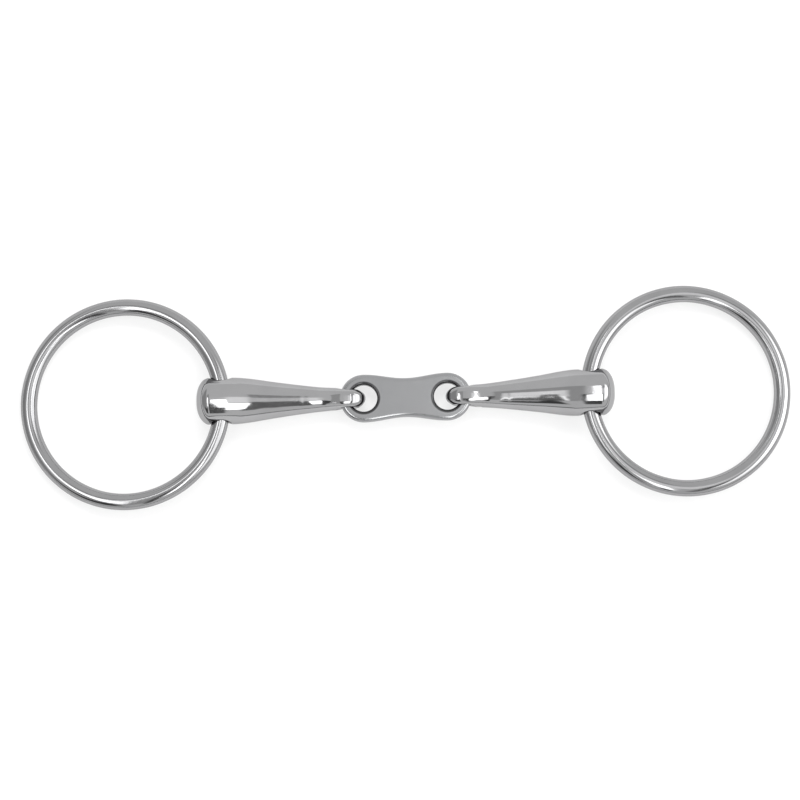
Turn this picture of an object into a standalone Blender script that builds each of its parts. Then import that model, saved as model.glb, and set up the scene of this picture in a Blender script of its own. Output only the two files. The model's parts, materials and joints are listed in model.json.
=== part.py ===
"""Loose-ring snaffle bit with a double-jointed (French link) mouthpiece.

Two tapered cannons are hooked through a flat dog-bone link by closed eyes at their thin ends.
A plain wire ring runs loose through a cross bore in the thick end (the butt) of each cannon.
The bit lies flat, as it rests on a table: +X runs along the mouthpiece, +Z is up, and the origin
is on the table under the middle of the link.
"""

import math

import bmesh
import bpy

MM = 0.001

# Driving dimensions, in millimetres.
MOUTHPIECE = 134.0  # between the axes of the two butt bores
RING_INSIDE = 65.0  # clear diameter of a ring
RING_WIRE = 6.0
WIRE_OFFSET = 0.5  # how far the wire's middle lies inboard of the bore's axis, so its arc clears the bore

LINK_LENGTH = 47.7
LINK_LOBE = 17.3  # width over each round end
LINK_WAIST = 14.1  # width at the middle
LINK_HOLE = 9.8
LINK_THICK = 4.5
LINK_EDGE = 1.5  # radius round the link's outline
LINK_HOLE_EDGE = 0.9  # radius round the mouths of its holes

BUTT_BORE = 7.8
BUTT_BORE_LIP = 0.7
BUTT_LIP_DEPTH = 0.16  # the share of the way in to the cannon's middle that the lip takes up
BUTT_OVERHANG = 8.8  # from the bore's axis to the flat end
BUTT_FACE_RADIUS = 0.8  # the small flat in the middle of the domed end
BUTT_ROUND = 4.8  # length of the dome

EYE_HALF_HEIGHT = 5.6
EYE_BORE = (3.45, 2.95)  # half length and half height of the eye's opening
EYE_BORE_SHIFT = -0.6  # the opening is longer on the tip side of the pivot
EYE_LIP = 1.3
EYE_LIP_DEPTH = 1  # the lips of the two sides meet in the middle of the eye
EYE_TIP = -7.4  # inner end of the cannon, from the pivot
EYE_SHOULDER = -1.0  # where the eye's height starts to round off
EYE_CHEEK = -2.0  # where the eye's width starts to round off
EYE_POWER = 3.0  # exponent of the eye's squarish cross section; 2 is an ellipse
EYE_BLEND = 9.0  # from the pivot to where the cross section is an ellipse

BUTT_BORE_HEIGHT = 8.82  # bore axis above the table
PIVOT_HEIGHT = EYE_HALF_HEIGHT

# Barrel radius against distance from the pivot: eye cheek, neck, taper, butt.
BARREL = ((-2.0, 3.7), (0.0, 3.8), (3.0, 4.0), (9.0, 4.45), (16.3, 5.32), (26.3, 6.72), (36.5, 8.2),
          (39.5, 8.43), (44.0, 8.52), (48.7, 8.5))
# Half height near the eye, where the neck is taller than it is wide.
EYE_NECK = ((-1.0, 5.6), (1.5, 5.5), (6.0, 5.0), (11.0, 4.85), (16.3, 5.32))

# Worked out from the driving dimensions.
LOBE_X = (LINK_LENGTH - LINK_LOBE) / 2
WAIST_SWELL = (LINK_LOBE - LINK_WAIST) / 4  # amplitude of the waves along the link's sides
RIM = (LINK_LOBE - LINK_HOLE) / 2
PIVOT_X = LINK_LENGTH / 2 - RIM / 2
WIRE = RING_WIRE / 2
RING_MEAN = RING_INSIDE / 2 + WIRE
RING_REACH = RING_MEAN - WIRE_OFFSET  # bore axis to ring centre
CANNON_SPAN = math.hypot(MOUTHPIECE / 2 - PIVOT_X, BUTT_BORE_HEIGHT - PIVOT_HEIGHT)
CANNON_RISE = math.asin((BUTT_BORE_HEIGHT - PIVOT_HEIGHT) / CANNON_SPAN)
RING_DROP = math.asin((BUTT_BORE_HEIGHT - WIRE) / (RING_REACH + RING_MEAN))
BUTT_END = CANNON_SPAN + BUTT_OVERHANG

# How finely the round shapes are cut.
RING_STEPS = 60
WIRE_STEPS = 14
BAR_SIDES = 24
LINK_ARC_STEPS = 24
LINK_MIDDLE_STEPS = 6
ROUND_STEPS = 3
BLEND_ROWS = 3
SHARP_ANGLE = math.radians(40)

# Where the cannon's cross sections stand along it, from the pivot; the butt's stand from the bore's axis.
TIP_STATIONS = (EYE_TIP + 0.12, EYE_TIP + 0.45)
EYE_BLOCK_STATIONS = (EYE_TIP + 1.0, -4.6, -2.4, 0.0, 2.4, 5.6)
TAPER_STATIONS = (9.0, 14.0, 20.0, 26.0, 32.0)
BUTT_BLOCK_STEPS = (-6.2, -3.2, 0.0, 3.2, 5.6)
DOME_TURNS = (42, 60, 75, 90)
# Each bored block reaches this many sides either way of the bar's middle height.
EYE_BLOCK_SPAN = 4
BUTT_BLOCK_SPAN = 3


def clear_scene():
    for obj in list(bpy.data.objects):
        bpy.data.objects.remove(obj, do_unlink=True)


def steel(name, colour, roughness):
    """A bare steel finish."""
    made = bpy.data.materials.new(name)
    made.use_nodes = True
    shader = made.node_tree.nodes["Principled BSDF"]
    shader.inputs["Base Color"].default_value = (*colour, 1.0)
    shader.inputs["Metallic"].default_value = 1.0
    shader.inputs["Roughness"].default_value = roughness
    return made


def add_piece(name, bm, finish):
    """One object from a bmesh in millimetres, shaded smooth, with its own material."""
    bmesh.ops.scale(bm, vec=(MM, MM, MM), verts=bm.verts)
    bmesh.ops.recalc_face_normals(bm, faces=bm.faces)
    mesh = bpy.data.meshes.new(name)
    bm.to_mesh(mesh)
    bm.free()
    mesh.shade_smooth()
    mesh.set_sharp_from_angle(angle=SHARP_ANGLE)
    mesh.materials.append(finish)
    obj = bpy.data.objects.new(name, mesh)
    bpy.context.scene.collection.objects.link(obj)
    return obj


def place(obj, x, z, tilt, facing_left):
    """Stands a piece modelled along +X at a joint, tipped up by tilt, on the right or the left side."""
    side = -1 if facing_left else 1
    obj.location = (side * x * MM, 0, z * MM)
    obj.rotation_euler = (0, -tilt, math.pi if facing_left else 0)


def curve_through(points):
    """A smooth curve through a few points, with no overshoot between them."""
    xs = [p[0] for p in points]
    ys = [p[1] for p in points]
    rise = [(ys[i + 1] - ys[i]) / (xs[i + 1] - xs[i]) for i in range(len(xs) - 1)]
    slopes = [rise[0]]
    for before, after in zip(rise, rise[1:]):
        same_way = before * after > 0
        slopes.append(2 * before * after / (before + after) if same_way else 0.0)
    slopes.append(rise[-1])

    def value(x):
        x = min(max(x, xs[0]), xs[-1])
        i = max(k for k in range(len(xs) - 1) if xs[k] <= x or k == 0)
        width = xs[i + 1] - xs[i]
        t = (x - xs[i]) / width
        start = (1 + 2 * t) * (1 - t) ** 2 * ys[i] + t * (1 - t) ** 2 * width * slopes[i]
        end = t * t * (3 - 2 * t) * ys[i + 1] + t * t * (t - 1) * width * slopes[i + 1]
        return start + end

    return value


def round_off(x, start, end):
    """1 at start, falling along a quarter ellipse to 0 at end."""
    t = min(max((x - start) / (end - start), 0.0), 1.0)
    return math.sqrt(1 - t * t)


barrel = curve_through(BARREL)
eye_neck = curve_through(EYE_NECK)


def half_width(x):
    """Half the cannon's width across Y, at a distance from the pivot."""
    if x < EYE_CHEEK:
        return barrel(EYE_CHEEK) * round_off(x, EYE_CHEEK, EYE_TIP)
    if x > BUTT_END - BUTT_ROUND:
        swell = barrel(BUTT_END) - BUTT_FACE_RADIUS
        return BUTT_FACE_RADIUS + swell * round_off(x, BUTT_END - BUTT_ROUND, BUTT_END)
    return barrel(x)


def half_height(x):
    """Half the cannon's height across Z, at a distance from the pivot."""
    if x < EYE_SHOULDER:
        return EYE_HALF_HEIGHT * round_off(x, EYE_SHOULDER, EYE_TIP)
    return eye_neck(x) if x < EYE_NECK[-1][0] else half_width(x)


def section_power(x):
    """Exponent of the cannon's cross section: squarish through the eye, an ellipse beyond it."""
    t = min(max(x / EYE_BLEND, 0.0), 1.0)
    return EYE_POWER + (2 - EYE_POWER) * t * t * (3 - 2 * t)


def side_of_bar(x, z):
    """Y of the cannon's +Y side, above the point (x, z)."""
    power = section_power(x)
    return half_width(x) * max(0.0, 1 - abs(z / half_height(x)) ** power) ** (1 / power)


def section_point(x, angle):
    """The point at an angle round the cannon's cross section."""
    c = math.cos(angle)
    s = math.sin(angle)
    share = 2 / section_power(x)
    y = math.copysign(abs(c) ** share, c) * half_width(x)
    z = math.copysign(abs(s) ** share, s) * half_height(x)
    return (x, y, z)


def block_edge(first, last, span):
    """(station, side) of each point round the edge of a block of the bar's grid, in order."""
    edge = [(i, -span) for i in range(first, last)]
    edge += [(last, j) for j in range(-span, span)]
    edge += [(i, span) for i in range(last, first, -1)]
    edge += [(first, j) for j in range(span, -span, -1)]
    return edge


def bore_rows(edge_points, centre, radii, lip, lip_depth):
    """Rows of points from a block's edge, over the +Y side, round the lip and down to mid bore."""
    rows = []
    spokes = [math.atan2(z / radii[1], (x - centre) / radii[0]) for x, z in edge_points]
    mouth = [(centre + (radii[0] + lip) * math.cos(a), (radii[1] + lip) * math.sin(a)) for a in spokes]
    for k in range(1, BLEND_ROWS + 1):
        share = k / BLEND_ROWS
        row = []
        for (x0, z0), (x1, z1) in zip(edge_points, mouth):
            x = x0 + (x1 - x0) * share
            z = z0 + (z1 - z0) * share
            row.append((x, side_of_bar(x, z), z))
        rows.append(row)
    for step in range(1, ROUND_STEPS + 1):
        turn = math.pi / 2 * step / ROUND_STEPS
        grow = lip * (1 - math.sin(turn))
        row = []
        for a, (x, z) in zip(spokes, mouth):
            y = side_of_bar(x, z) * (1 - lip_depth * (1 - math.cos(turn)))
            row.append((centre + (radii[0] + grow) * math.cos(a), y, (radii[1] + grow) * math.sin(a)))
        rows.append(row)
    return rows


def bridge(bm, rows):
    """Quads between each row of points and the next, closed round."""
    for one, other in zip(rows, rows[1:]):
        for k in range(len(one)):
            n = (k + 1) % len(one)
            bm.faces.new((one[k], one[n], other[n], other[k]))


def bore(bm, grid, block, centre, radii, lip, lip_depth):
    """A hole right through the bar along Y, between matching blocks of its two sides."""
    edge = block_edge(*block)
    half_turn = BAR_SIDES // 2
    near = [grid[i][j % BAR_SIDES] for i, j in edge]
    far = [grid[i][(half_turn - j) % BAR_SIDES] for i, j in edge]
    points = bore_rows([(v.co.x, v.co.z) for v in near], centre, radii, lip, lip_depth)
    down = [[bm.verts.new(p) for p in row] for row in points]
    meets_itself = lip_depth == 1
    up_points = points[:-1] if meets_itself else points
    up = [[bm.verts.new((x, -y, z)) for x, y, z in row] for row in up_points]
    bridge(bm, [near, *down, *reversed(up), far])


def in_block(i, j, first, last, span):
    """Whether the bar's quad at (i, j) is inside a bored block, on either side of the bar."""
    near = (j + span) % BAR_SIDES < 2 * span
    far = (j - BAR_SIDES // 2 + span) % BAR_SIDES < 2 * span
    return first <= i < last and (near or far)


def cannon_bar():
    """One cannon along +X, with its pivot at the origin, its eye, and its butt bore."""
    butt_block = [CANNON_SPAN + step for step in BUTT_BLOCK_STEPS]
    end = [BUTT_END - BUTT_ROUND * (1 - math.sin(math.radians(turn))) for turn in DOME_TURNS]
    stations = [*TIP_STATIONS, *EYE_BLOCK_STATIONS, *TAPER_STATIONS, *butt_block, *end]
    eye_at = len(TIP_STATIONS)
    butt_at = stations.index(butt_block[0])
    eye_stop = eye_at + len(EYE_BLOCK_STATIONS) - 1
    butt_stop = butt_at + len(butt_block) - 1
    blocks = ((eye_at, eye_stop, EYE_BLOCK_SPAN), (butt_at, butt_stop, BUTT_BLOCK_SPAN))

    bm = bmesh.new()
    grid = []
    for x in stations:
        grid.append([bm.verts.new(section_point(x, math.tau * j / BAR_SIDES)) for j in range(BAR_SIDES)])
    for i in range(len(stations) - 1):
        for j in range(BAR_SIDES):
            if any(in_block(i, j, *block) for block in blocks):
                continue
            n = (j + 1) % BAR_SIDES
            bm.faces.new((grid[i][j], grid[i][n], grid[i + 1][n], grid[i + 1][j]))
    point = bm.verts.new((EYE_TIP, 0, 0))
    for j in range(BAR_SIDES):
        bm.faces.new((point, grid[0][j], grid[0][(j + 1) % BAR_SIDES]))
    bm.faces.new(grid[-1])
    bore(bm, grid, blocks[0], EYE_BORE_SHIFT, EYE_BORE, EYE_LIP, EYE_LIP_DEPTH)
    butt_radius = BUTT_BORE / 2
    bore(bm, grid, blocks[1], CANNON_SPAN, (butt_radius, butt_radius), BUTT_BORE_LIP, BUTT_LIP_DEPTH)
    return bm


def wire_ring():
    """A plain ring of round wire in the XY plane, reaching out along +X from the bore axis it hangs on."""
    bm = bmesh.new()
    rows = []
    for i in range(RING_STEPS):
        a = math.tau * i / RING_STEPS
        row = []
        for k in range(WIRE_STEPS):
            b = math.tau * k / WIRE_STEPS
            out = RING_MEAN + WIRE * math.cos(b)
            row.append(bm.verts.new((RING_REACH + out * math.cos(a), out * math.sin(a), WIRE * math.sin(b))))
        rows.append(row)
    bridge(bm, [*rows, rows[0]])
    return bm


def link_half_width(x):
    """Half the link's width between its middle and the centre of a lobe."""
    return LINK_WAIST / 2 + WAIST_SWELL * (1 - math.cos(math.pi * x / LOBE_X))


def link_outline(angle):
    """Point and outward normal where a spoke from the hole's centre meets the link's outline."""
    c = math.cos(angle)
    s = math.sin(angle)
    if c >= 0:
        return (LOBE_X + LINK_LOBE / 2 * c, LINK_LOBE / 2 * s), (c, s)
    low = 0.0
    high = LOBE_X / -c
    for _ in range(40):
        mid = (low + high) / 2
        if mid * abs(s) < link_half_width(LOBE_X + mid * c):
            low = mid
        else:
            high = mid
    x = LOBE_X + low * c
    slope = WAIST_SWELL * math.pi / LOBE_X * math.sin(math.pi * x / LOBE_X)
    length = math.hypot(1, slope)
    return (x, low * s), (-slope / length, math.copysign(1 / length, s))


def edge_round(radius):
    """(inset, drop) of each point over a rounded edge, from the flat face to the side wall."""
    turns = [math.pi / 2 * k / ROUND_STEPS for k in range(ROUND_STEPS + 1)]
    return [(radius * (1 - math.sin(t)), radius * (1 - math.cos(t))) for t in turns]


def link_rims():
    """Each column's points from the flat face to the wall: round the outline, then across the open middle."""
    half_waist = LINK_WAIST / 2
    corner = math.pi - math.atan2(half_waist, LOBE_X)
    rims = []
    for k in range(LINK_ARC_STEPS + 1):
        (x, y), (nx, ny) = link_outline(corner * (2 * k / LINK_ARC_STEPS - 1))
        rims.append([(x - nx * inset, y - ny * inset, drop) for inset, drop in edge_round(LINK_EDGE)])
    for k in range(1, LINK_MIDDLE_STEPS):
        rims.append([(0.0, (half_waist - LINK_EDGE) * (1 - 2 * k / LINK_MIDDLE_STEPS), 0.0)])
    return rims


def half_link(bm, side):
    """The +X or -X half of the link, open at the middle where the halves weld together."""
    flat = LINK_THICK / 2
    hole = LINK_HOLE / 2
    columns = []
    for rim in link_rims():
        spoke = math.atan2(rim[0][1], rim[0][0] - LOBE_X)
        c = math.cos(spoke)
        s = math.sin(spoke)
        mouth = reversed(edge_round(LINK_HOLE_EDGE))
        column = [(LOBE_X + (hole + inset) * c, (hole + inset) * s, drop) for inset, drop in mouth] + rim
        top = [bm.verts.new((side * x, y, flat - drop)) for x, y, drop in column]
        under = [bm.verts.new((side * x, y, drop - flat)) for x, y, drop in column]
        columns.append((top, under, len(rim) > 1))
    for (top, under, wall), (next_top, next_under, next_wall) in zip(columns, columns[1:] + columns[:1]):
        height = min(len(top), len(next_top))
        for one, other in ((top, next_top), (under, next_under)):
            for k in range(height - 1):
                bm.faces.new((one[k], other[k], other[k + 1], one[k + 1]))
        bm.faces.new((top[0], next_top[0], next_under[0], under[0]))
        if wall and next_wall:
            bm.faces.new((top[-1], next_top[-1], next_under[-1], under[-1]))


def link_plate():
    """The dog-bone link in the XY plane, centred on the origin."""
    bm = bmesh.new()
    half_link(bm, 1)
    half_link(bm, -1)
    bmesh.ops.remove_doubles(bm, verts=bm.verts, dist=0.0005)
    return bm


def main():
    clear_scene()
    polished = {
        "ring": ((0.60, 0.60, 0.61), 0.10),
        "cannon": ((0.62, 0.62, 0.63), 0.08),
        "link": ((0.50, 0.50, 0.51), 0.22),
    }
    link = add_piece("french_link", link_plate(), steel("french_link_steel", *polished["link"]))
    link.location = (0, 0, PIVOT_HEIGHT * MM)
    for side_name in ("left", "right"):
        facing_left = side_name == "left"
        cannon_steel = steel(f"cannon_{side_name}_steel", *polished["cannon"])
        cannon = add_piece(f"cannon_{side_name}", cannon_bar(), cannon_steel)
        place(cannon, PIVOT_X, PIVOT_HEIGHT, CANNON_RISE, facing_left)
        ring_steel = steel(f"ring_{side_name}_steel", *polished["ring"])
        ring = add_piece(f"ring_{side_name}", wire_ring(), ring_steel)
        place(ring, MOUTHPIECE / 2, BUTT_BORE_HEIGHT, -RING_DROP, facing_left)


main()
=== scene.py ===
"""The looks of the loose-ring snaffle: fine meshes for its five pieces, polished steel, studio, camera.

Every piece stands where the frame's node stands. Shapes are worked out in millimetres and brought to metres
when they are placed; the studio and the camera are in metres.
"""

import json
import math

import bmesh
import bpy
from mathutils import Matrix, Vector, noise


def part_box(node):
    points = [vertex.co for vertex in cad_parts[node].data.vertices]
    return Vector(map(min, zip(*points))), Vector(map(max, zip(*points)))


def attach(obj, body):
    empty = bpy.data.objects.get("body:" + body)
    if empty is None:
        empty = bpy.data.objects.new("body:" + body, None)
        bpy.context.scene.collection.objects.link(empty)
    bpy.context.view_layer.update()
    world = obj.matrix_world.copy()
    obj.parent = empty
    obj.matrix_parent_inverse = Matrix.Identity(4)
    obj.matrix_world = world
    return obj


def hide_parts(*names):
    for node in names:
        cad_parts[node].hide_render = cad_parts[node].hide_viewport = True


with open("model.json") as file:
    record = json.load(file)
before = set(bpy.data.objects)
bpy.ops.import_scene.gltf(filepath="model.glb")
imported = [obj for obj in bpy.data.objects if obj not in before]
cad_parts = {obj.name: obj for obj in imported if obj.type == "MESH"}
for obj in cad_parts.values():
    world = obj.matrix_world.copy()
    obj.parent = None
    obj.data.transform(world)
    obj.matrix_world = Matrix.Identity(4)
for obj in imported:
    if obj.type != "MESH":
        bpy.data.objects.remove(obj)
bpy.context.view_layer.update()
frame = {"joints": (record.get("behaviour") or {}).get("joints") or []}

MM = 0.001

# The design's own dimensions, in millimetres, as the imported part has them.
RING_INSIDE = 65.0  # clear diameter of a ring
RING_WIRE = 6.0
WIRE_OFFSET = 0.5  # how far the wire's middle lies inboard of the bore's axis
LINK_WAIST = 14.1  # width at the middle
LINK_HOLE = 9.8
LINK_EDGE = 1.5  # radius round the link's outline
LINK_HOLE_EDGE = 0.9  # radius round the mouths of its holes
BUTT_BORE = 7.8
BUTT_BORE_LIP = 0.7
BUTT_LIP_DEPTH = 0.16  # the share of the way in to the cannon's middle that the lip takes up
BUTT_OVERHANG = 8.8  # from the bore's axis to the end
BUTT_FACE_RADIUS = 0.8  # the small flat in the middle of the domed end
BUTT_ROUND = 4.8  # length of the dome
EYE_HALF_HEIGHT = 5.6
EYE_BORE = (3.45, 2.95)  # half length and half height of the eye's opening
EYE_BORE_SHIFT = -0.6  # the opening is longer on the tip side of the pivot
EYE_LIP = 1.3
EYE_LIP_DEPTH = 1  # the lips of the two sides meet in the middle of the eye
EYE_TIP = -7.4  # inner end of the cannon, from the pivot
EYE_SHOULDER = -1.0  # where the eye's height starts to round off
EYE_CHEEK = -2.0  # where the eye's width starts to round off
EYE_POWER = 3.0  # exponent of the eye's squarish cross section; 2 is an ellipse
EYE_BLEND = 9.0  # from the pivot to where the cross section is an ellipse
# Barrel radius against distance from the pivot, and the half height where the neck is taller than wide.
BARREL = ((-2.0, 3.7), (0.0, 3.8), (3.0, 4.0), (9.0, 4.45), (16.3, 5.32), (26.3, 6.72), (36.5, 8.2),
          (39.5, 8.43), (44.0, 8.52), (48.7, 8.5))
EYE_NECK = ((-1.0, 5.6), (1.5, 5.5), (6.0, 5.0), (11.0, 4.85), (16.3, 5.32))

# Places and remaining sizes come from the frame.
joint_at = {joint["name"]: Vector(joint["pos_m"]) / MM for joint in frame["joints"]}
pivot = joint_at["cannon_right_fold"]
bore_axis = joint_at["ring_right_swing"]
link_low, link_high = (Vector(corner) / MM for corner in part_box("french_link"))
LINK_THICK = link_high.z - link_low.z
LOBE_RADIUS = link_high.y
LOBE_X = link_high.x - LOBE_RADIUS
HALF_WAIST = LINK_WAIST / 2
WAIST_SWELL = (LOBE_RADIUS - HALF_WAIST) / 2  # amplitude of the waves along the link's sides
HOLE_RADIUS = LINK_HOLE / 2
BORE_RADIUS = BUTT_BORE / 2
WIRE = RING_WIRE / 2
RING_MEAN = RING_INSIDE / 2 + WIRE
RING_REACH = RING_MEAN - WIRE_OFFSET  # bore axis to ring centre
CANNON_SPAN = (bore_axis - pivot).length
CANNON_RISE = math.atan2(bore_axis.z - pivot.z, bore_axis.x - pivot.x)
RING_DROP = math.asin((bore_axis.z - WIRE) / (RING_REACH + RING_MEAN))
BUTT_END = CANNON_SPAN + BUTT_OVERHANG

# How finely the pieces are cut.
RING_STEPS = 320
WIRE_STEPS = 40
BAR_SIDES = 96
LINK_ARC_STEPS = 168
LINK_MIDDLE_STEPS = 28
ROUND_STEPS = 10
BLEND_ROWS = 8
FLAT_SHARES = (0.02, 0.2, 0.4, 0.6, 0.8, 0.98)  # rows across the link's flat, close to its ends as well
HALVINGS = 40  # of the search for the link's outline
WELD_DISTANCE = 0.0005

# The cannon's grid of cross sections has a block of it bored at the eye and another at the butt.
TIP_END = EYE_TIP + 1.0
EYE_BLOCK_END = 5.6
BUTT_BLOCK_START = CANNON_SPAN - 6.2
BUTT_BLOCK_END = CANNON_SPAN + 5.6
TIP_STEPS = 7
EYE_STEPS = 34
TAPER_STEPS = 60
BUTT_STEPS = 30
DOME_STEPS = 16
# Each bored block reaches this many sides either way of the bar's middle height.
EYE_BLOCK_SPAN = BAR_SIDES // 6
BUTT_BLOCK_SPAN = BAR_SIDES // 8

# Hand polishing leaves waves in the steel: how deep, how long along the piece, and how long across it.
CANNON_WAVES = (0.12, 17.0, 9.0)
RING_WAVES = (0.05, 12.0, 12.0)
NOISE_SKEW = 3.7  # spreads the seeds of the waves along Y
RING_SEED_STEP = 5  # a ring's seed lies this far from its cannon's


# Shapes

def curve_through(points):
    """A smooth curve through a few points, with no overshoot between them."""
    xs = [p[0] for p in points]
    ys = [p[1] for p in points]
    rise = [(ys[i + 1] - ys[i]) / (xs[i + 1] - xs[i]) for i in range(len(xs) - 1)]
    slopes = [rise[0]]
    for before, after in zip(rise, rise[1:]):
        same_way = before * after > 0
        slopes.append(2 * before * after / (before + after) if same_way else 0.0)
    slopes.append(rise[-1])

    def value(x):
        x = min(max(x, xs[0]), xs[-1])
        i = max(k for k in range(len(xs) - 1) if xs[k] <= x or k == 0)
        width = xs[i + 1] - xs[i]
        t = (x - xs[i]) / width
        start = (1 + 2 * t) * (1 - t) ** 2 * ys[i] + t * (1 - t) ** 2 * width * slopes[i]
        end = t * t * (3 - 2 * t) * ys[i + 1] + t * t * (t - 1) * width * slopes[i + 1]
        return start + end

    return value


def round_off(x, start, end):
    """1 at start, falling along a quarter ellipse to 0 at end."""
    t = min(max((x - start) / (end - start), 0.0), 1.0)
    return math.sqrt(1 - t * t)


barrel = curve_through(BARREL)
eye_neck = curve_through(EYE_NECK)


def half_width(x):
    """Half the cannon's width across Y, at a distance from the pivot."""
    if x < EYE_CHEEK:
        return barrel(EYE_CHEEK) * round_off(x, EYE_CHEEK, EYE_TIP)
    if x > BUTT_END - BUTT_ROUND:
        swell = barrel(BUTT_END) - BUTT_FACE_RADIUS
        return BUTT_FACE_RADIUS + swell * round_off(x, BUTT_END - BUTT_ROUND, BUTT_END)
    return barrel(x)


def half_height(x):
    """Half the cannon's height across Z, at a distance from the pivot."""
    if x < EYE_SHOULDER:
        return EYE_HALF_HEIGHT * round_off(x, EYE_SHOULDER, EYE_TIP)
    return eye_neck(x) if x < EYE_NECK[-1][0] else half_width(x)


def section_power(x):
    """Exponent of the cannon's cross section: squarish through the eye, an ellipse beyond it."""
    t = min(max(x / EYE_BLEND, 0.0), 1.0)
    return EYE_POWER + (2 - EYE_POWER) * t * t * (3 - 2 * t)


def side_of_bar(x, z):
    """Y of the cannon's +Y side, above the point (x, z)."""
    power = section_power(x)
    return half_width(x) * max(0.0, 1 - abs(z / half_height(x)) ** power) ** (1 / power)


def section_point(x, angle):
    """The point at an angle round the cannon's cross section."""
    c = math.cos(angle)
    s = math.sin(angle)
    share = 2 / section_power(x)
    y = math.copysign(abs(c) ** share, c) * half_width(x)
    z = math.copysign(abs(s) ** share, s) * half_height(x)
    return (x, y, z)


def steps_between(start, end, count):
    """Evenly spaced values from start up to, but not at, end."""
    return [start + (end - start) * k / count for k in range(count)]


def block_edge(first, last, span):
    """(station, side) of each point round the edge of a block of the bar's grid, in order."""
    edge = [(i, -span) for i in range(first, last)]
    edge += [(last, j) for j in range(-span, span)]
    edge += [(i, span) for i in range(last, first, -1)]
    edge += [(first, j) for j in range(span, -span, -1)]
    return edge


def bore_rows(edge_points, centre, radii, lip, lip_depth):
    """Rows of points from a block's edge, over the +Y side, round the lip and down to mid bore."""
    rows = []
    spokes = [math.atan2(z / radii[1], (x - centre) / radii[0]) for x, z in edge_points]
    mouth = [(centre + (radii[0] + lip) * math.cos(a), (radii[1] + lip) * math.sin(a)) for a in spokes]
    for k in range(1, BLEND_ROWS + 1):
        share = k / BLEND_ROWS
        row = []
        for (x0, z0), (x1, z1) in zip(edge_points, mouth):
            x = x0 + (x1 - x0) * share
            z = z0 + (z1 - z0) * share
            row.append((x, side_of_bar(x, z), z))
        rows.append(row)
    for step in range(1, ROUND_STEPS + 1):
        turn = math.pi / 2 * step / ROUND_STEPS
        grow = lip * (1 - math.sin(turn))
        row = []
        for a, (x, z) in zip(spokes, mouth):
            y = side_of_bar(x, z) * (1 - lip_depth * (1 - math.cos(turn)))
            row.append((centre + (radii[0] + grow) * math.cos(a), y, (radii[1] + grow) * math.sin(a)))
        rows.append(row)
    return rows


def bridge(bm, rows):
    """Quads between each row of points and the next, closed round."""
    for one, other in zip(rows, rows[1:]):
        for k in range(len(one)):
            n = (k + 1) % len(one)
            bm.faces.new((one[k], one[n], other[n], other[k]))


def bore(bm, grid, block, centre, radii, lip, lip_depth):
    """A hole right through the bar along Y, between matching blocks of its two sides."""
    edge = block_edge(*block)
    half_turn = BAR_SIDES // 2
    near = [grid[i][j % BAR_SIDES] for i, j in edge]
    far = [grid[i][(half_turn - j) % BAR_SIDES] for i, j in edge]
    points = bore_rows([(v.co.x, v.co.z) for v in near], centre, radii, lip, lip_depth)
    down = [[bm.verts.new(p) for p in row] for row in points]
    meets_itself = lip_depth == 1
    up_points = points[:-1] if meets_itself else points
    up = [[bm.verts.new((x, -y, z)) for x, y, z in row] for row in up_points]
    bridge(bm, [near, *down, *reversed(up), far])


def in_block(i, j, first, last, span):
    """Whether the bar's quad at (i, j) is inside a bored block, on either side of the bar."""
    near = (j + span) % BAR_SIDES < 2 * span
    far = (j - BAR_SIDES // 2 + span) % BAR_SIDES < 2 * span
    return first <= i < last and (near or far)


def cannon_bar():
    """One cannon along +X, with its pivot at the origin, its eye, and its butt bore."""
    tip = [EYE_TIP + (TIP_END - EYE_TIP) * (k / TIP_STEPS) ** 2 for k in range(1, TIP_STEPS)]
    eye = steps_between(TIP_END, EYE_BLOCK_END, EYE_STEPS)
    taper = steps_between(EYE_BLOCK_END, BUTT_BLOCK_START, TAPER_STEPS)
    butt = steps_between(BUTT_BLOCK_START, BUTT_BLOCK_END, BUTT_STEPS)
    dome_start = math.asin(1 - (BUTT_END - BUTT_BLOCK_END) / BUTT_ROUND)
    turns = steps_between(dome_start, math.pi / 2, DOME_STEPS)
    dome = [BUTT_END - BUTT_ROUND * (1 - math.sin(turn)) for turn in turns]
    stations = [*tip, *eye, *taper, *butt, *dome, BUTT_END]
    eye_at = len(tip)
    butt_at = eye_at + len(eye) + len(taper)
    eye_block = (eye_at, eye_at + len(eye), EYE_BLOCK_SPAN)
    butt_block = (butt_at, butt_at + len(butt), BUTT_BLOCK_SPAN)

    bm = bmesh.new()
    grid = []
    for x in stations:
        grid.append([bm.verts.new(section_point(x, math.tau * j / BAR_SIDES)) for j in range(BAR_SIDES)])
    for i in range(len(stations) - 1):
        for j in range(BAR_SIDES):
            if in_block(i, j, *eye_block) or in_block(i, j, *butt_block):
                continue
            n = (j + 1) % BAR_SIDES
            bm.faces.new((grid[i][j], grid[i][n], grid[i + 1][n], grid[i + 1][j]))
    for x, ring in ((EYE_TIP, grid[0]), (BUTT_END, grid[-1])):
        point = bm.verts.new((x, 0, 0))
        for j in range(BAR_SIDES):
            bm.faces.new((point, ring[j], ring[(j + 1) % BAR_SIDES]))
    bore(bm, grid, eye_block, EYE_BORE_SHIFT, EYE_BORE, EYE_LIP, EYE_LIP_DEPTH)
    bore(bm, grid, butt_block, CANNON_SPAN, (BORE_RADIUS, BORE_RADIUS), BUTT_BORE_LIP, BUTT_LIP_DEPTH)
    return bm


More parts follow.
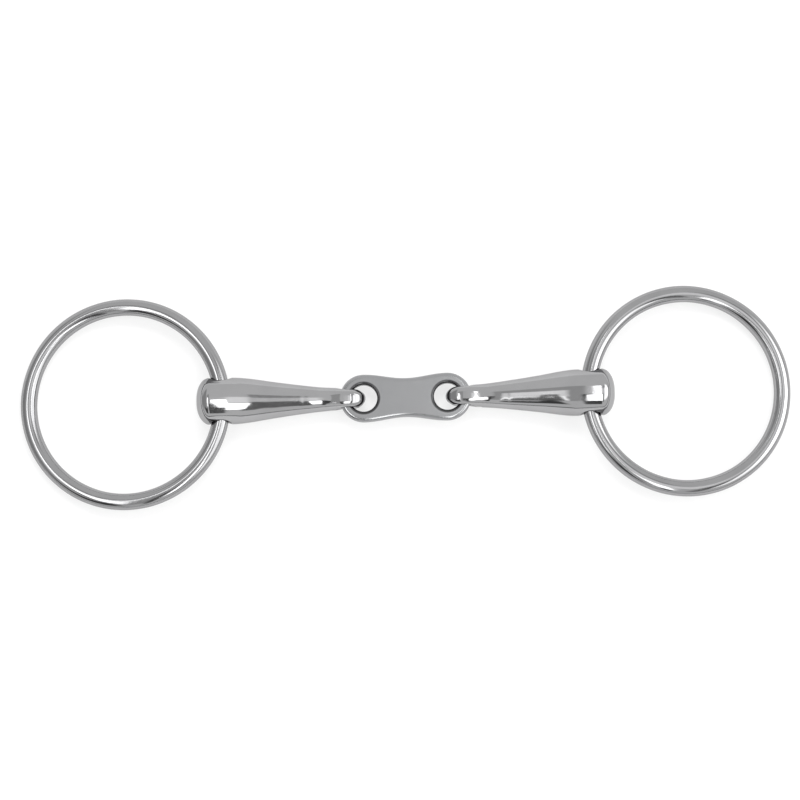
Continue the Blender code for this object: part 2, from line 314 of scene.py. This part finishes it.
def wire_ring():
    """A ring of round wire in the XY plane, reaching out along +X from the bore axis it hangs on."""
    bm = bmesh.new()
    rows = []
    for i in range(RING_STEPS):
        a = math.tau * i / RING_STEPS
        row = []
        for k in range(WIRE_STEPS):
            b = math.tau * k / WIRE_STEPS
            out = RING_MEAN + WIRE * math.cos(b)
            row.append(bm.verts.new((RING_REACH + out * math.cos(a), out * math.sin(a), WIRE * math.sin(b))))
        rows.append(row)
    bridge(bm, [*rows, rows[0]])
    return bm


def link_half_width(x):
    """Half the link's width between its middle and the centre of a lobe."""
    return HALF_WAIST + WAIST_SWELL * (1 - math.cos(math.pi * x / LOBE_X))


def link_outline(angle):
    """Point and outward normal where a spoke from the hole's centre meets the link's outline."""
    c = math.cos(angle)
    s = math.sin(angle)
    if c >= 0:
        return (LOBE_X + LOBE_RADIUS * c, LOBE_RADIUS * s), (c, s)
    low = 0.0
    high = LOBE_X / -c
    for _ in range(HALVINGS):
        mid = (low + high) / 2
        if mid * abs(s) < link_half_width(LOBE_X + mid * c):
            low = mid
        else:
            high = mid
    x = LOBE_X + low * c
    slope = WAIST_SWELL * math.pi / LOBE_X * math.sin(math.pi * x / LOBE_X)
    length = math.hypot(1, slope)
    return (x, low * s), (-slope / length, math.copysign(1 / length, s))


def edge_round(radius):
    """(inset, drop) of each point over a rounded edge, from the flat face to the side wall."""
    turns = [math.pi / 2 * k / ROUND_STEPS for k in range(ROUND_STEPS + 1)]
    return [(radius * (1 - math.sin(t)), radius * (1 - math.cos(t))) for t in turns]


def link_rims():
    """Each column's points from the flat face to the wall: round the outline, then across the open middle."""
    corner = math.pi - math.atan2(HALF_WAIST, LOBE_X)
    rims = []
    for k in range(LINK_ARC_STEPS + 1):
        (x, y), (nx, ny) = link_outline(corner * (2 * k / LINK_ARC_STEPS - 1))
        rims.append([(x - nx * inset, y - ny * inset, drop) for inset, drop in edge_round(LINK_EDGE)])
    for k in range(1, LINK_MIDDLE_STEPS):
        rims.append([(0.0, (HALF_WAIST - LINK_EDGE) * (1 - 2 * k / LINK_MIDDLE_STEPS), 0.0)])
    return rims


def half_link(bm, side):
    """The +X or -X half of the link, open at the middle where the halves weld together."""
    flat = LINK_THICK / 2
    columns = []
    for rim in link_rims():
        spoke = math.atan2(rim[0][1], rim[0][0] - LOBE_X)
        c = math.cos(spoke)
        s = math.sin(spoke)
        mouth = reversed(edge_round(LINK_HOLE_EDGE))
        reaches = [(HOLE_RADIUS + inset, drop) for inset, drop in mouth]
        column = [(LOBE_X + reach * c, reach * s, drop) for reach, drop in reaches]
        x0, y0, _ = column[-1]
        x1, y1, _ = rim[0]
        column += [(x0 + (x1 - x0) * share, y0 + (y1 - y0) * share, 0.0) for share in FLAT_SHARES]
        column += rim
        top = [bm.verts.new((side * x, y, flat - drop)) for x, y, drop in column]
        under = [bm.verts.new((side * x, y, drop - flat)) for x, y, drop in column]
        columns.append((top, under, len(rim) > 1))
    for (top, under, wall), (next_top, next_under, next_wall) in zip(columns, columns[1:] + columns[:1]):
        height = min(len(top), len(next_top))
        for one, other in ((top, next_top), (under, next_under)):
            for k in range(height - 1):
                bm.faces.new((one[k], other[k], other[k + 1], one[k + 1]))
        bm.faces.new((top[0], next_top[0], next_under[0], under[0]))
        if wall and next_wall:
            bm.faces.new((top[-1], next_top[-1], next_under[-1], under[-1]))


def link_plate():
    """The dog-bone link in the XY plane, centred on the origin."""
    bm = bmesh.new()
    half_link(bm, 1)
    half_link(bm, -1)
    bmesh.ops.remove_doubles(bm, verts=bm.verts, dist=WELD_DISTANCE)
    return bm


def polish_by_hand(bm, depth, length, across, seed):
    """Soft waves a few hundredths of a millimetre deep, as a buffing wheel leaves."""
    bm.normal_update()
    moves = []
    for vertex in bm.verts:
        x, y, z = vertex.co
        at = Vector((x / length + seed, y / across + NOISE_SKEW * seed, z / across - seed))
        moves.append(vertex.normal * depth * noise.noise(at))
    for vertex, move in zip(bm.verts, moves):
        vertex.co += move


def add_piece(name, bm, finish, place):
    """One object at the frame's origin, its mesh already where the frame's node stands."""
    bmesh.ops.recalc_face_normals(bm, faces=bm.faces)
    bmesh.ops.transform(bm, matrix=Matrix.Scale(MM, 4) @ place, verts=bm.verts)
    mesh = bpy.data.meshes.new(name)
    bm.to_mesh(mesh)
    bm.free()
    mesh.shade_smooth()
    mesh.materials.append(finish)
    obj = bpy.data.objects.new(name, mesh)
    bpy.context.scene.collection.objects.link(obj)
    return obj


def stand_at(point, tilt, facing_left):
    """The matrix that stands a piece modelled along +X at a joint, tipped up by tilt."""
    turn = Matrix.Rotation(math.pi if facing_left else 0.0, 4, "Z")
    return Matrix.Translation(point) @ turn @ Matrix.Rotation(-tilt, 4, "Y")


# Materials

# Noise scales, per metre, from clouds in the tone down to the hairline scratches.
CLOUD_SCALE = 90.0
WAVE_SCALE = 260.0
FILM_SCALE = 420.0
HAIR_SCALE = 5200.0
HAIR_SCALE_STEP = 700.0  # each further set of scratches is this much coarser
HAIR_TURNS = ((0.0, 0.0, 0.06), (0.4, 0.0, -0.35), (0.0, 0.5, 0.8))  # how each set is turned, in radians
HAIR_STRETCH = 0.02  # how wide a scratch is, as a share of its length
# Where each effect starts and where it is full, in its noise or, for rubbed edges, in the pointiness.
CLOUD_SPAN = (0.3, 0.7)
FILM_SPAN = (0.35, 0.7)
HAIR_SPAN = (0.60, 0.72)
EDGE_SPAN = (0.53, 0.62)
CROSSED_HAIRS = 2.0  # scratches on top of each other that roughen the steel fully
RUBBED = 0.05  # how much rougher the rubbed edges are
WAVE_DEPTH = 0.00002
WAVE_STRENGTH = 0.35
SCRATCH_DEPTH = 0.000002
SCRATCH_STRENGTH = 0.12
# Painted shade: a near-black mixed into the steel's colour on the walls of the bores, in place of the shade
# and dark reflections inside them.
BORE_SHADE_COLOUR = (0.07, 0.07, 0.072, 1)
BORE_SHADE_FADE = 0.35  # millimetres over which the painted shade on a bore's wall fades into the steel's own tone
GLANCING_TINT = (0.72, 0.72, 0.72, 1)


def node(tree, kind, **settings):
    """A shader node with some of its properties set."""
    made = tree.nodes.new(kind)
    for key, value in settings.items():
        setattr(made, key, value)
    return made


def noise_node(tree, coordinates, scale, detail, stretch=(1, 1, 1), turn=(0, 0, 0)):
    """Noise over the piece's own coordinates, stretched and turned."""
    mapping = node(tree, "ShaderNodeMapping")
    mapping.inputs["Scale"].default_value = stretch
    mapping.inputs["Rotation"].default_value = turn
    tree.links.new(coordinates, mapping.inputs["Vector"])
    made = node(tree, "ShaderNodeTexNoise")
    made.inputs["Scale"].default_value = scale
    made.inputs["Detail"].default_value = detail
    tree.links.new(mapping.outputs["Vector"], made.inputs["Vector"])
    return made.outputs["Fac"]


def calculate(tree, operation, one, other):
    """A maths node on one value and another, which may be a number."""
    made = node(tree, "ShaderNodeMath", operation=operation)
    tree.links.new(one, made.inputs[0])
    if isinstance(other, (int, float)):
        made.inputs[1].default_value = other
    else:
        tree.links.new(other, made.inputs[1])
    return made.outputs["Value"]


def remap(tree, value, low, high, to_low, to_high):
    """The value's range low to high carried to another range, and held there."""
    made = node(tree, "ShaderNodeMapRange", clamp=True)
    for slot, number in zip(("From Min", "From Max", "To Min", "To Max"), (low, high, to_low, to_high)):
        made.inputs[slot].default_value = number
    tree.links.new(value, made.inputs["Value"])
    return made.outputs["Result"]


def inside_bore(tree, coordinates, centre, radius, along):
    """Mask of the painted shade: 1 on the wall of a bore that runs along an axis and 0 outside it; the same
    on both sides of X = 0.
    """
    across = [1.0, 1.0, 1.0]
    across[along] = 0.0
    mirrored = node(tree, "ShaderNodeVectorMath", operation="ABSOLUTE")
    tree.links.new(coordinates, mirrored.inputs[0])
    offset = node(tree, "ShaderNodeVectorMath", operation="SUBTRACT")
    offset.inputs[1].default_value = Vector(centre) * MM
    tree.links.new(mirrored.outputs["Vector"], offset.inputs[0])
    flattened = node(tree, "ShaderNodeVectorMath", operation="MULTIPLY")
    flattened.inputs[1].default_value = across
    tree.links.new(offset.outputs["Vector"], flattened.inputs[0])
    reach = node(tree, "ShaderNodeVectorMath", operation="LENGTH")
    tree.links.new(flattened.outputs["Vector"], reach.inputs[0])
    return remap(tree, reach.outputs["Value"], radius * MM, (radius + BORE_SHADE_FADE) * MM, 1.0, 0.0)


def steel(name, dark, light, smooth, rough, scratch, along, bore_at=None):
    """Bare polished steel: clouded tone, uneven gloss, hairlines along an axis, rubbed edges.

    bore_at is the centre, the radius and the axis of a bore whose walls get painted shade, a near-black mixed
    into the colour.
    """
    made = bpy.data.materials.new(name)
    made.use_nodes = True
    tree = made.node_tree
    shader = tree.nodes["Principled BSDF"]
    shader.inputs["Metallic"].default_value = 1.0
    shader.inputs["Specular Tint"].default_value = GLANCING_TINT
    coordinates = node(tree, "ShaderNodeTexCoord").outputs["Object"]

    clouds = noise_node(tree, coordinates, CLOUD_SCALE, detail=4.0)
    tone = node(tree, "ShaderNodeMix", data_type="RGBA")
    tone.inputs["A"].default_value = (*dark, 1)
    tone.inputs["B"].default_value = (*light, 1)
    tree.links.new(remap(tree, clouds, *CLOUD_SPAN, 0.0, 1.0), tone.inputs["Factor"])
    colour = tone.outputs["Result"]
    # Painted shade: the bore's walls and mouths are darkened towards near-black.
    if bore_at:
        painted_bore_shade = inside_bore(tree, coordinates, *bore_at)
        darkened = node(tree, "ShaderNodeMix", data_type="RGBA")
        darkened.inputs["B"].default_value = BORE_SHADE_COLOUR
        tree.links.new(painted_bore_shade, darkened.inputs["Factor"])
        tree.links.new(colour, darkened.inputs["A"])
        colour = darkened.outputs["Result"]
    tree.links.new(colour, shader.inputs["Base Color"])

    stretch = [1.0, 1.0, 1.0]
    stretch[along] = HAIR_STRETCH
    hairs = []
    for number, turn in enumerate(HAIR_TURNS):
        scale = HAIR_SCALE - HAIR_SCALE_STEP * number
        hair = noise_node(tree, coordinates, scale, detail=2.0, stretch=stretch, turn=turn)
        hairs.append(remap(tree, hair, *HAIR_SPAN, 0.0, 1.0))
    hairlines = calculate(tree, "ADD", calculate(tree, "ADD", hairs[0], hairs[1]), hairs[2])
    film = noise_node(tree, coordinates, FILM_SCALE, detail=5.0)
    pointed = node(tree, "ShaderNodeNewGeometry").outputs["Pointiness"]

    gloss = remap(tree, film, *FILM_SPAN, smooth, rough)
    gloss = calculate(tree, "ADD", gloss, remap(tree, hairlines, 0.0, CROSSED_HAIRS, 0.0, scratch))
    gloss = calculate(tree, "ADD", gloss, remap(tree, pointed, *EDGE_SPAN, 0.0, RUBBED))
    tree.links.new(gloss, shader.inputs["Roughness"])

    waves = node(tree, "ShaderNodeBump")
    waves.inputs["Strength"].default_value = WAVE_STRENGTH
    waves.inputs["Distance"].default_value = WAVE_DEPTH
    tree.links.new(noise_node(tree, coordinates, WAVE_SCALE, detail=2.0), waves.inputs["Height"])
    scored = node(tree, "ShaderNodeBump", invert=True)
    scored.inputs["Strength"].default_value = SCRATCH_STRENGTH
    scored.inputs["Distance"].default_value = SCRATCH_DEPTH
    tree.links.new(hairlines, scored.inputs["Height"])
    tree.links.new(waves.outputs["Normal"], scored.inputs["Normal"])
    tree.links.new(scored.outputs["Normal"], shader.inputs["Normal"])
    return made


# Pieces

LINK_TONES = ((0.335, 0.338, 0.345), (0.352, 0.355, 0.362))
CANNON_TONES = ((0.36, 0.36, 0.365), (0.39, 0.39, 0.395))
RING_TONES = ((0.315, 0.315, 0.32), (0.35, 0.35, 0.355))


def build_link():
    """The link, with painted shade on its holes' walls and rounded mouths."""
    hole = ((LOBE_X, 0, 0), HOLE_RADIUS + LINK_HOLE_EDGE, 2)
    finish = steel("link_steel", *LINK_TONES, smooth=0.17, rough=0.21, scratch=0.05, along=0, bore_at=hole)
    piece = add_piece("link_plate_fine", link_plate(), finish, Matrix.Translation((0, 0, pivot.z)))
    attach(piece, "link")
    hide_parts("french_link")


def build_side(side, facing_left, seed):
    """The cannon and the ring of one side; the seed makes its polishing waves its own."""
    way = -1 if facing_left else 1
    ring_hole = ((bore_axis.x, 0, bore_axis.z), BORE_RADIUS, 1)
    cannon_finish = steel(
        f"cannon_{side}_steel", *CANNON_TONES, smooth=0.05, rough=0.09, scratch=0.04, along=0,
        bore_at=ring_hole)
    bm = cannon_bar()
    polish_by_hand(bm, *CANNON_WAVES, seed)
    at = Vector((way * pivot.x, 0, pivot.z))
    cannon = add_piece(f"cannon_{side}_fine", bm, cannon_finish, stand_at(at, CANNON_RISE, facing_left))
    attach(cannon, f"cannon_{side}")
    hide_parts(f"cannon_{side}")

    ring_finish = steel(f"ring_{side}_steel", *RING_TONES, smooth=0.09, rough=0.14, scratch=0.04, along=1)
    bm = wire_ring()
    polish_by_hand(bm, *RING_WAVES, seed + RING_SEED_STEP)
    at = Vector((way * bore_axis.x, 0, bore_axis.z))
    ring = add_piece(f"ring_{side}_fine", bm, ring_finish, stand_at(at, -RING_DROP, facing_left))
    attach(ring, f"ring_{side}")
    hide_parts(f"ring_{side}")


# Studio

FLOOR_RADIUS = 4.0
FLOOR_SIDES = 96
FLOOR_GAP = 0.00005  # between the sheet and what lies on it
FLOOR_DARK = (0.25, 0.25, 0.25)
FLOOR_LIGHT = (0.27, 0.27, 0.27)
FLOOR_GRAIN = 30.0
FLOOR_ROUGHNESS = 0.8
FLOOR_GLOW = 0.67


def paper_white(name):
    """The sheet that the bit lies on: matt, and lit from below as well, so that shadows on it are faint."""
    made = bpy.data.materials.new(name)
    made.use_nodes = True
    tree = made.node_tree
    shader = tree.nodes["Principled BSDF"]
    shader.inputs["Roughness"].default_value = FLOOR_ROUGHNESS
    coordinates = node(tree, "ShaderNodeTexCoord").outputs["Object"]
    tone = node(tree, "ShaderNodeMix", data_type="RGBA")
    tone.inputs["A"].default_value = (*FLOOR_DARK, 1)
    tone.inputs["B"].default_value = (*FLOOR_LIGHT, 1)
    tree.links.new(noise_node(tree, coordinates, FLOOR_GRAIN, detail=3.0), tone.inputs["Factor"])
    tree.links.new(tone.outputs["Result"], shader.inputs["Base Color"])
    shader.inputs["Emission Color"].default_value = (1, 1, 1, 1)
    shader.inputs["Emission Strength"].default_value = FLOOR_GLOW
    return made


def build_floor():
    """The sheet, wide enough to fill every view from above."""
    bm = bmesh.new()
    bmesh.ops.create_circle(bm, cap_ends=True, segments=FLOOR_SIDES, radius=FLOOR_RADIUS)
    mesh = bpy.data.meshes.new("floor")
    bm.to_mesh(mesh)
    bm.free()
    mesh.materials.append(paper_white("floor_white"))
    floor = bpy.data.objects.new("floor", mesh)
    floor.location.z = -FLOOR_GAP
    bpy.context.scene.collection.objects.link(floor)


def softbox(name, place, size, turn, radiance, beam=math.pi):
    """A rectangular light, as bright along its own axis as its radiance says.

    It faces down before it is turned, and its beam is the full angle that it lights.
    """
    half = beam / 2
    narrowing = 1 - half / math.tan(half) if beam < math.pi else 1.0
    lamp = bpy.data.lights.new(name, "AREA")
    lamp.shape = "RECTANGLE"
    lamp.size, lamp.size_y = size
    lamp.spread = beam
    lamp.energy = radiance * math.pi * lamp.size * lamp.size_y * narrowing
    obj = bpy.data.objects.new(name, lamp)
    obj.location = place
    obj.rotation_euler = turn
    obj.visible_camera = False
    bpy.context.scene.collection.objects.link(obj)
    return obj


# Softboxes lying level overhead: name, height, range in X, range in Y, radiance, turn about Z in degrees.
PANELS = (
    ("panel_main", 0.8, (0.015, 0.236), (-0.92, -0.283), 3.4, 0),
    ("panel_far_left", 0.8, (-0.50, -0.325), (-0.46, 0.18), 2.6, 0),
    ("strip_right_butt", 0.25, (0.0605, 0.0735), (-0.092, 0.108), 3.4, 0),
    ("strip_left_butt", 0.12, (-0.0645, -0.0530), (-0.080, 0.002), 3.4, 4),
)
RING_LAMP_TILT = math.radians(49)
RING_LAMP_BEAM = math.radians(60)
BACK_LAMP_TILT = math.radians(-31)


def build_lights():
    """The overhead panels, a lamp low beside the right ring, and one behind that lights only the sheet."""
    for name, height, x_range, y_range, radiance, turn in PANELS:
        place = (sum(x_range) / 2, sum(y_range) / 2, height)
        size = (x_range[1] - x_range[0], y_range[1] - y_range[0])
        softbox(name, place, size, (0, 0, math.radians(turn)), radiance)
    softbox(
        "ring_lamp", place=(0.27, -0.01, 0.11), size=(0.14, 0.22), turn=(0, RING_LAMP_TILT, 0),
        radiance=3.6, beam=RING_LAMP_BEAM)
    back = softbox(
        "back_lamp", place=(0, 0.45, 0.75), size=(0.6, 0.3), turn=(BACK_LAMP_TILT, 0, 0), radiance=9.0)
    back.visible_glossy = False


def between(tree, run, low, high, soft):
    """1 where the run lies between two angles from straight up, in degrees, with soft ends."""
    mask = None
    for angle, way in ((low, 1), (high, -1)):
        edge = node(tree, "ShaderNodeMapRange", interpolation_type="SMOOTHSTEP")
        edge.inputs["From Min"].default_value = math.tan(math.radians(angle - way * soft))
        edge.inputs["From Max"].default_value = math.tan(math.radians(angle + way * soft))
        tree.links.new(run, edge.inputs["Value"])
        result = edge.outputs["Result"]
        mask = result if mask is None else calculate(tree, "MULTIPLY", mask, result)
    return mask


# What stands round the bit and over it, as seen from the bit: the range of angles from straight up
# towards +X, the range towards +Y, how soft the edges are, and how bright it is.
ROOM = (
    ("ceiling_right", (19.9, 31), (-58, 27), 1.2, 0.50),
    ("ceiling_left", (-34, -4.5), (-50, 27), 1.5, 0.64),
    ("left_wall", (-85, -42), (-60, 60), 4.0, 0.52),
    ("haze_right", (4, 19.9), (-17, 12), 2.5, 1.6),
    ("haze_far_right", (19.9, 27), (-13, 9), 3.0, 1.1),
    ("haze_left", (-34, -17), (-26, 8), 2.5, 1.6),
    ("right_window", (42, 76), (-50, 38), 3.0, 2.5),
    ("right_window_low", (32, 45), (-46, 16), 2.5, 2.7),
    ("stand", (20.3, 29.5), (-56, -15), 1.5, 0.24),
    ("strip", (-22, -19), (-47, -23), 1.0, 2.4),
    ("arm", (-33, -22.4), (-48, -12), 1.2, 0.30),
    ("photographer", (-62, -28), (-68, -41), 3.0, 0.09),
    ("elbow", (-6, 3.2), (-67, -17), 1.5, 0.12),
    ("wrist", (2.4, 5.8), (-66, -37), 1.5, 0.15),
)
ROOM_GREY = 0.97
HORIZON_GREY = 0.14
HORIZON_FADE = (0.03, 0.10)  # upward part of a direction where the horizon's dark line turns into the room
BEHIND_FADE = (0.3, 0.6)  # +Y part of a direction where that line fades out
LEAST_RISE = 0.001  # keeps the angles finite at the horizon


def build_world():
    """A pale grey room with its lights, its dark things, and a thin dark line along the horizon."""
    world = bpy.data.worlds.new("studio")
    bpy.context.scene.world = world
    world.use_nodes = True
    tree = world.node_tree
    direction = node(tree, "ShaderNodeTexCoord").outputs["Generated"]
    split = node(tree, "ShaderNodeSeparateXYZ")
    tree.links.new(direction, split.inputs["Vector"])
    up = calculate(tree, "MAXIMUM", split.outputs["Z"], LEAST_RISE)
    run_x = calculate(tree, "DIVIDE", split.outputs["X"], up)
    run_y = calculate(tree, "DIVIDE", split.outputs["Y"], up)

    above = remap(tree, split.outputs["Z"], *HORIZON_FADE, HORIZON_GREY, ROOM_GREY)
    behind = remap(tree, split.outputs["Y"], *BEHIND_FADE, 0.0, 1.0)
    light = node(tree, "ShaderNodeMix", data_type="FLOAT")
    tree.links.new(behind, light.inputs["Factor"])
    tree.links.new(above, light.inputs["A"])
    light.inputs["B"].default_value = ROOM_GREY
    for name, x_angles, y_angles, soft, radiance in ROOM:
        across = between(tree, run_x, *x_angles, soft)
        mask = calculate(tree, "MULTIPLY", across, between(tree, run_y, *y_angles, soft))
        mixed = node(tree, "ShaderNodeMix", data_type="FLOAT", name=name)
        mixed.inputs["B"].default_value = radiance
        tree.links.new(light.outputs["Result"], mixed.inputs["A"])
        tree.links.new(mask, mixed.inputs["Factor"])
        light = mixed
    tree.links.new(light.outputs["Result"], tree.nodes["Background"].inputs["Strength"])
    tree.nodes["Background"].inputs["Color"].default_value = (1, 1, 1, 1)


# Camera

CAMERA_ELEVATION = math.radians(84)
CAMERA_DISTANCE = 0.9
CAMERA_ROLL = math.radians(-1.39)
FRAME_WIDTH = 0.2906  # how much of the plane through the bit the picture spans
AIM = Vector((-0.00205, -0.00086, 0.006))  # what the middle of the picture shows


def build_camera():
    """The photo's view, from almost straight above and turned a little."""
    camera = bpy.data.cameras.new("camera")
    camera.lens = camera.sensor_width * CAMERA_DISTANCE / FRAME_WIDTH
    obj = bpy.data.objects.new("camera", camera)
    towards = Vector((0, -math.cos(CAMERA_ELEVATION), math.sin(CAMERA_ELEVATION)))
    obj.location = AIM + towards * CAMERA_DISTANCE
    level = towards.to_track_quat("Z", "Y")
    obj.rotation_euler = (level.to_matrix() @ Matrix.Rotation(CAMERA_ROLL, 3, "Z")).to_euler()
    bpy.context.scene.collection.objects.link(obj)
    bpy.context.scene.camera = obj


build_camera()
build_floor()
build_world()
build_lights()
build_link()
build_side("left", facing_left=True, seed=2.0)
build_side("right", facing_left=False, seed=7.0)
bpy.context.scene.view_settings.view_transform = "Standard"
